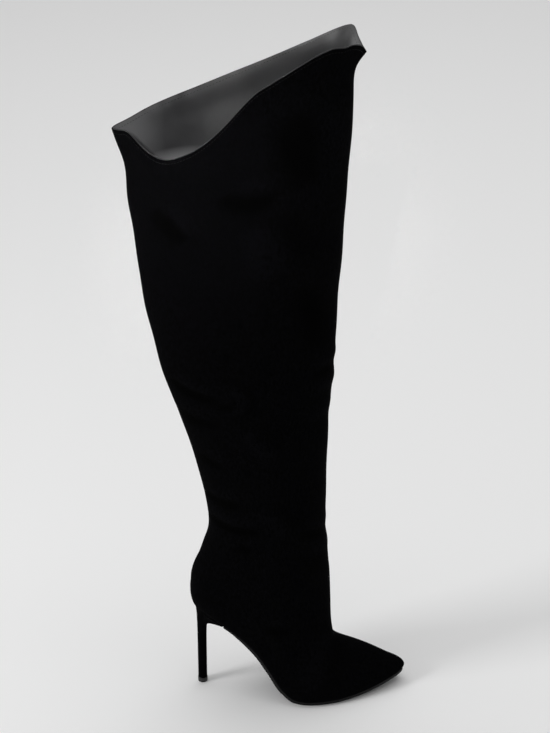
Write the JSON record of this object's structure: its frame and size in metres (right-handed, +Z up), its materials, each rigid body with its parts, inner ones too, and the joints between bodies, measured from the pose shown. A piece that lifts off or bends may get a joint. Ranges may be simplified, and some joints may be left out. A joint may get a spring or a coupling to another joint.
{
  "type": "thigh-high boot",
  "caption": "Right thigh-high stiletto boot with a slack suede shaft, slanted collar, almond toe, thin leather sole and covered heel; hollow and open at the collar.",
  "frame": {"origin": "centre of the heel's top lift, on the floor", "axes": "+X towards the toe, +Z up the shaft, +Y towards the inner side of the foot"},
  "size_m": [0.282, 0.1054, 0.6964],
  "materials": {
    "suede": "napped, matte black",
    "lining": "smooth, soft sheen",
    "sole_leather": "waxed, low sheen",
    "insole_leather": "smooth, satin",
    "lift_rubber": "matte"
  },
  "bodies": {
    "root": {"upper": "suede", "outsole": "sole_leather", "heel": "suede", "top_lift": "lift_rubber", "insole": "insole_leather"}
  },
  "joints": []
}
